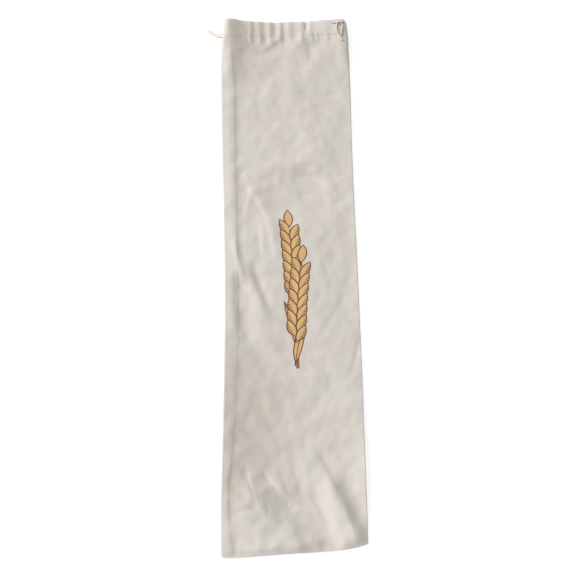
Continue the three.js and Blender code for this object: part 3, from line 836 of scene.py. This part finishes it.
def right_cord_points():
    """In at its first exit, left along the front, round behind and over the right edge to its second."""
    first, second = RIGHT_EXITS
    loop = cord_loop(RIGHT_CORD_RUN)
    before = int(np.argmax(loop[:, 0] > first - EXIT_CLIMB - CORD_JOIN))
    after = int(np.argmax(loop[:, 0] > second + EXIT_CLIMB + CORD_JOIN))
    over, under = ([resting(*place) for place in end] for end in RIGHT_ENDS)
    return np.vstack([
        over[::-1],
        climb(first - EXIT_CLIMB, first)[::-1],
        loop[:before][::-1],
        loop[after:][::-1],
        climb(second + EXIT_CLIMB, second),
        under,
    ])


def path_frames(path):
    """A path's direction at each point, and two across it that turn as little as they can."""
    tangents = np.gradient(path, axis=0)
    tangents /= np.linalg.norm(tangents, axis=1, keepdims=True)
    across = np.zeros_like(path)
    start = np.cross(tangents[0], [0, 0, 1.0])
    across[0] = start / np.linalg.norm(start)
    for i in range(1, len(path)):
        kept = across[i - 1] - tangents[i] * (across[i - 1] @ tangents[i])
        across[i] = kept / np.linalg.norm(kept)
    return tangents, across, np.cross(tangents, across)


def fray(tip, outwards, rng):
    """Loose fibres at a cord's cut end, as thin three-sided spikes."""
    points = []
    faces = []
    for _ in range(FRAY_COUNT):
        lean = outwards + rng.normal(0, FRAY_SPREAD, 3)
        lean /= np.linalg.norm(lean)
        root = tip + rng.normal(0, FRAY_SCATTER, 3) - outwards * FRAY_SUNK
        end = root + lean * FRAY_LENGTH * rng.uniform(FRAY_SHORTEST, 1)
        end[2] = max(end[2], FRAY_WIDTH)
        side = np.cross(lean, rng.normal(0, 1, 3))
        side *= FRAY_WIDTH / np.linalg.norm(side)
        up = np.cross(lean, side)
        a, b, c, d = range(len(points), len(points) + 4)
        points += [tuple(p) for p in (root + side, root - side / 2 + up, root - side / 2 - up, end)]
        faces += [(a, b, d), (b, c, d), (c, a, d), (c, b, a)]
    return points, faces


def make_cord(name, route, material, rng):
    """A cord of three strands twisted together, with frayed ends."""
    path = smooth_path(route, CORD_STEP)
    tangents, across, up = path_frames(path)
    turn = 2 * np.pi * np.arange(len(path)) * CORD_STEP / CORD_TWIST
    angles = 2 * np.pi * np.arange(CORD_SIDES) / CORD_SIDES
    lobes = np.abs(np.cos(CORD_STRANDS / 2 * (angles[None, :] - turn[:, None])))
    radius = CORD / 2 * (1 - CORD_GROOVE * (1 - lobes))
    points, faces = tube(path, radius, angles, across[:, None], up[:, None])
    for tip, outwards in ((path[0], -tangents[0]), (path[-1], tangents[-1])):
        add(points, faces, *fray(tip, outwards, rng))
    return make_object(name, points, faces, material), path


def make_stitches(material):
    """The row of stitches that closes the casing, on the front and on the back."""
    run = np.array([[1.0]])
    start = left_edge(run).item() + STITCH_INSET
    end = right_edge(run).item() - STITCH_INSET
    middles = np.arange(start, end, STITCH_PITCH)
    shares = np.linspace(-0.5, 0.5, STITCH_RINGS)
    angles = 2 * np.pi * np.arange(STITCH_SIDES) / STITCH_SIDES
    points = []
    faces = []
    for facing in (1, -1):
        for middle in middles:
            x = middle + shares * STITCH_LENGTH
            y = along(run, x[None])[0]
            surface = front(run, x[None])[0] if facing > 0 else np.full(STITCH_RINGS, BACK_LIFT)
            bulge = np.sqrt(1 - (2 * shares) ** 2)
            z = surface + facing * THREAD * (STITCH_SHOWS * bulge - 0.5)
            radius = THREAD / 2 * lerp(STITCH_TAPER, 1, bulge)
            path = np.column_stack([x, y, z])
            add(points, faces, *tube(path, radius[:, None], angles, across=(0, 1, 0), up=(0, 0, 1)))
    return make_object("casing_stitches", points, faces, material)


class Field:
    """A number that varies over a surface, worked out by a material's math nodes."""

    def __init__(self, tree, socket):
        self.tree = tree
        self.socket = socket

    def apply(self, operation, *others):
        """What a math node makes of this and other fields or numbers."""
        node = self.tree.nodes.new("ShaderNodeMath")
        node.operation = operation
        for place, value in enumerate((self, *others)):
            if isinstance(value, Field):
                self.tree.links.new(value.socket, node.inputs[place])
            else:
                node.inputs[place].default_value = value
        return Field(self.tree, node.outputs["Value"])

    __add__ = partialmethod(apply, "ADD")
    __sub__ = partialmethod(apply, "SUBTRACT")
    __mul__ = partialmethod(apply, "MULTIPLY")
    __truediv__ = partialmethod(apply, "DIVIDE")
    __abs__ = partialmethod(apply, "ABSOLUTE")
    least = partialmethod(apply, "MINIMUM")
    most = partialmethod(apply, "MAXIMUM")
    above = partialmethod(apply, "GREATER_THAN")  # 1 where this is over a limit and 0 elsewhere

    def flipped(self):
        """One less this."""
        return self * -1 + 1

    def eased(self, low, high):
        """Eases from 0 to 1 as this goes from low to high."""
        node = self.tree.nodes.new("ShaderNodeMapRange")
        node.interpolation_type = "SMOOTHSTEP"
        node.inputs["From Min"].default_value = low
        node.inputs["From Max"].default_value = high
        self.tree.links.new(self.socket, node.inputs["Value"])
        return Field(self.tree, node.outputs["Result"])


def new_material(name, roughness, sheen=0.0):
    """A plain matt material, its node tree and its shader."""
    material = bpy.data.materials.new(name)
    material.use_nodes = True
    shader = material.node_tree.nodes["Principled BSDF"]
    shader.inputs["Roughness"].default_value = roughness
    shader.inputs["Specular IOR Level"].default_value = MATT_SPECULAR
    shader.inputs["Sheen Weight"].default_value = sheen
    shader.inputs["Sheen Roughness"].default_value = SHEEN_ROUGHNESS
    return material, material.node_tree, shader


def patches(tree, places, width, length, detail=2.0):
    """Noise in patches about that wide and long, in millimetres, from 0 to 1."""
    scale = tree.nodes.new("ShaderNodeMapping")
    scale.inputs["Scale"].default_value = (1 / (width * MM), 1 / (length * MM), 1 / (width * MM))
    tree.links.new(places, scale.inputs["Vector"])
    texture = tree.nodes.new("ShaderNodeTexNoise")
    texture.inputs["Scale"].default_value = 1
    texture.inputs["Detail"].default_value = detail
    tree.links.new(scale.outputs["Vector"], texture.inputs["Vector"])
    return Field(tree, texture.outputs["Fac"])


def mixed(tree, share, first, second):
    """A colour between two, which are fixed colours or the outcome of other nodes."""
    node = tree.nodes.new("ShaderNodeMix")
    node.data_type = "RGBA"
    tree.links.new(share.socket, node.inputs["Factor"])
    for name, colour in (("A", first), ("B", second)):
        socket = next(s for s in node.inputs if s.name == name and s.type == "RGBA")
        if isinstance(colour, tuple):
            socket.default_value = colour
        else:
            tree.links.new(colour, socket)
    return next(s for s in node.outputs if s.type == "RGBA")


def bumped(tree, shader, height, distance, strength):
    """Gives a shader a fine relief, as deep as the distance where the height goes from 0 to 1."""
    node = tree.nodes.new("ShaderNodeBump")
    node.inputs["Distance"].default_value = distance * MM
    node.inputs["Strength"].default_value = strength
    tree.links.new(height.socket, node.inputs["Height"])
    tree.links.new(node.outputs["Normal"], shader.inputs["Normal"])


class Ink:
    """The print, as it builds up: where its tan lies and where its brown lines do."""

    def __init__(self):
        self.tan = None
        self.brown = None

    def paint(self, inside, lines=None):
        """Lays a shape over what is there. Inside is how far a place is in from the shape's edge."""
        cover = inside.eased(0, INK_EDGE)
        marks = inside.eased(INK_LINE, INK_LINE + INK_EDGE).flipped()
        if lines is not None:
            marks = marks.most(lines)
        brown = marks * cover
        if self.tan is None:
            self.tan = cover
            self.brown = brown
        else:
            self.tan = self.tan.most(cover)
            self.brown = brown + self.brown * cover.flipped()


def almond(along_axis, across_axis, length, half_width):
    """How far a place is in from the edge of a shape that is pointed at both ends."""
    from_middle = (along_axis - length / 2) / (length / 2)
    return (from_middle * from_middle).flipped() * half_width - abs(across_axis)


def paint_wheat(ink, across, along_bag, ear):
    """Lays one stalk with its leaf and its two rows of grains."""
    height = (along_bag - ear.foot[1]) / (ear.tip - ear.foot[1])
    aside = across - height * height * ear.bend - ear.foot[0]
    stalk = abs(aside) * -1 + STALK / 2
    below_ear = (along_bag * -1 + ear.ear_foot + GRAIN_LENGTH / 2).least(along_bag - ear.foot[1])
    ink.paint(stalk.least(below_ear))

    up_leaf = (along_bag - ear.leaf_foot) / ear.leaf_length
    leaf_aside = aside - up_leaf * up_leaf * ear.leaf_reach
    leaf = almond(along_bag - ear.leaf_foot, leaf_aside, ear.leaf_length, LEAF_WIDTH / 2)
    ink.paint(leaf, (abs(leaf_aside) * -1 + INK_LINE / 2).eased(0, INK_EDGE))

    on_left = aside.above(0).flipped()
    up_ear = along_bag - ear.ear_foot - on_left * (GRAIN_PITCH / 2)
    count = round((ear.tip - ear.ear_foot - GRAIN_LENGTH) / GRAIN_PITCH)
    cell = (up_ear / GRAIN_PITCH).apply("FLOOR")
    in_cell = up_ear - cell * GRAIN_PITCH
    out = abs(aside) - GRAIN_ROOT
    top = almond(along_bag - ear.tip + GRAIN_LENGTH, aside, GRAIN_LENGTH, GRAIN_WIDTH / 2)
    ink.paint(top)
    lean_sin = math.sin(GRAIN_LEAN)
    lean_cos = math.cos(GRAIN_LEAN)
    for below in (0, 1):
        up = in_cell + below * GRAIN_PITCH
        lengthwise = out * lean_sin + up * lean_cos
        sideways = out * lean_cos - up * lean_sin
        grain = almond(lengthwise, sideways, GRAIN_LENGTH, GRAIN_WIDTH / 2)
        # Grains are numbered from 0 to one less than the count.
        number = cell - below
        real = number.above(-0.5) * number.above(count - 0.5).flipped()
        lines = (lengthwise / HATCH_PITCH).apply("FRACT").above(HATCH_SHARE).flipped()
        hatch = lines * sideways.above(HATCH_FROM)
        ink.paint(grain.least(real * GRAIN_WIDTH - INK_EDGE), hatch)


def painted_shade_mask(across, along_bag, shade):
    """1 in the middle of a patch of painted shade, easing to 0 at its edge."""
    x = (across - shade.middle[0]) / shade.reach[0]
    y = (along_bag - shade.middle[1]) / shade.reach[1]
    return (x * x + y * y).apply("SQRT").flipped().eased(0, 1)


def cloth_material():
    """Unbleached calico: a plain weave of uneven threads, with broad patches of painted shade and two
    printed ears of wheat on the front.
    """
    material, tree, shader = new_material("calico", roughness=0.92, sheen=0.08)
    uv = tree.nodes.new("ShaderNodeUVMap")
    uv.uv_map = "cloth"
    places = uv.outputs["UV"]
    parts = tree.nodes.new("ShaderNodeSeparateXYZ")
    tree.links.new(places, parts.inputs["Vector"])
    across = Field(tree, parts.outputs["X"]) / MM
    along_bag = Field(tree, parts.outputs["Y"]) / MM

    warp = (across * (math.pi / THREAD_PITCH)).apply("SINE")
    weft = (along_bag * (math.pi / THREAD_PITCH)).apply("SINE")
    over = (warp * weft).above(0)
    slubs = patches(tree, places, SLUB_WIDTH, SLUB_LENGTH) + patches(tree, places, SLUB_LENGTH, SLUB_WIDTH)
    weave = abs(warp) * over + abs(weft) * over.flipped()
    bumped(tree, shader, weave * WEAVE_RELIEF + slubs, distance=0.12, strength=0.35)

    cloudy = patches(tree, places, width=44, length=60, detail=3)
    tone = cloudy * CLOUD_TONE + (slubs - SLUB_LEVEL) * SLUB_TONE
    # Painted shade: the cloth's tone is darkened in each patch where the front lies in shade.
    for shade in PAINTED_SHADES:
        tone = tone - painted_shade_mask(across, along_bag, shade) * shade.depth
    colour = mixed(tree, tone, CLOTH_DARK, CLOTH_LIGHT)

    ink = Ink()
    for ear in EARS:
        paint_wheat(ink, across, along_bag, ear)
    specks = patches(tree, places, width=0.9, length=0.9, detail=3).eased(*INK_WEAR)
    cover = specks * (INK_FULL - INK_WORN) + INK_WORN
    colour = mixed(tree, ink.tan * cover, colour, INK_TAN)
    colour = mixed(tree, ink.brown * cover, colour, INK_BROWN)
    tree.links.new(colour, shader.inputs["Base Color"])
    return material


def cord_material():
    """Soft cotton yarn."""
    material, tree, shader = new_material("cotton_cord", roughness=0.9, sheen=0.15)
    coordinates = tree.nodes.new("ShaderNodeTexCoord")
    fibres = patches(tree, coordinates.outputs["Object"], width=0.5, length=0.5, detail=4)
    tree.links.new(mixed(tree, fibres, CORD_DARK, CORD_LIGHT), shader.inputs["Base Color"])
    bumped(tree, shader, fibres, distance=0.2, strength=0.4)
    return material


def thread_material():
    """Sewing thread, a little lighter than the cloth."""
    material, tree, shader = new_material("sewing_thread", roughness=0.7, sheen=0.1)
    coordinates = tree.nodes.new("ShaderNodeTexCoord")
    plies = patches(tree, coordinates.outputs["Object"], width=0.4, length=0.2)
    tree.links.new(mixed(tree, plies, THREAD_DARK, THREAD_LIGHT), shader.inputs["Base Color"])
    bumped(tree, shader, plies, distance=0.1, strength=0.3)
    return material


def make_floor():
    """A plain pale table top, just under the bag."""
    mesh = bpy.data.meshes.new("floor")
    reach = FLOOR_SIZE / 2
    corners = ((-reach, -reach), (reach, -reach), (reach, reach), (-reach, reach))
    mesh.from_pydata([(*corner, FLOOR_HEIGHT) for corner in corners], [], [(0, 1, 2, 3)])
    material, _, shader = new_material("pale_floor", roughness=0.8)
    shader.inputs["Base Color"].default_value = (FLOOR_TONE, FLOOR_TONE, FLOOR_TONE, 1)
    shader.inputs["Emission Color"].default_value = (1, 1, 1, 1)
    shader.inputs["Emission Strength"].default_value = FLOOR_GLOW
    mesh.materials.append(material)
    link("floor", mesh)


def aim(thing, place, target):
    """Puts a camera or lamp at a place and points it at another."""
    thing.location = place
    thing.rotation_euler = (Vector(target) - Vector(place)).to_track_quat("-Z", "Y").to_euler()


def make_light():
    """Soft light from the upper left, as even as a large window's, over an even fill."""
    world = bpy.data.worlds.new("studio")
    world.use_nodes = True
    background = world.node_tree.nodes["Background"]
    background.inputs["Color"].default_value = (1, 1, 1, 1)
    background.inputs["Strength"].default_value = FILL_STRENGTH
    scene = bpy.context.scene
    scene.world = world
    scene.view_settings.view_transform = "Standard"
    light = bpy.data.lights.new("key", "SUN")
    light.angle = KEY_SOFTNESS
    light.energy = KEY_STRENGTH
    aim(link("key", light), KEY_PLACE, (0, 0, 0))


def make_camera():
    """The photograph's view, from nearly straight above."""
    camera = bpy.data.cameras.new("camera")
    camera.lens = CAMERA_LENS
    made = link("camera", camera)
    aim(made, CAMERA_PLACE, CAMERA_TARGET)
    bpy.context.scene.camera = made


make_camera()
make_light()
make_floor()

cord_look = cord_material()
rng = np.random.default_rng(FRAY_SEED)
left_cord, left_path = make_cord("left_drawcord", left_cord_points(), cord_look, rng)
right_cord, right_path = make_cord("right_drawcord", right_cord_points(), cord_look, rng)
left_exit = np.array(LEFT_ENDS[0][0])
right_exit = climb(RIGHT_EXITS[0] - EXIT_CLIMB, RIGHT_EXITS[0])[-1]
for cord, path, leaves, node in (
    (left_cord, left_path, left_exit, "drawcord_left"),
    (right_cord, right_path, right_exit, "drawcord_right"),
):
    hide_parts(node)

bag = make_bag(cloth_material())
stitches = make_stitches(thread_material())
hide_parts("bag_cloth")
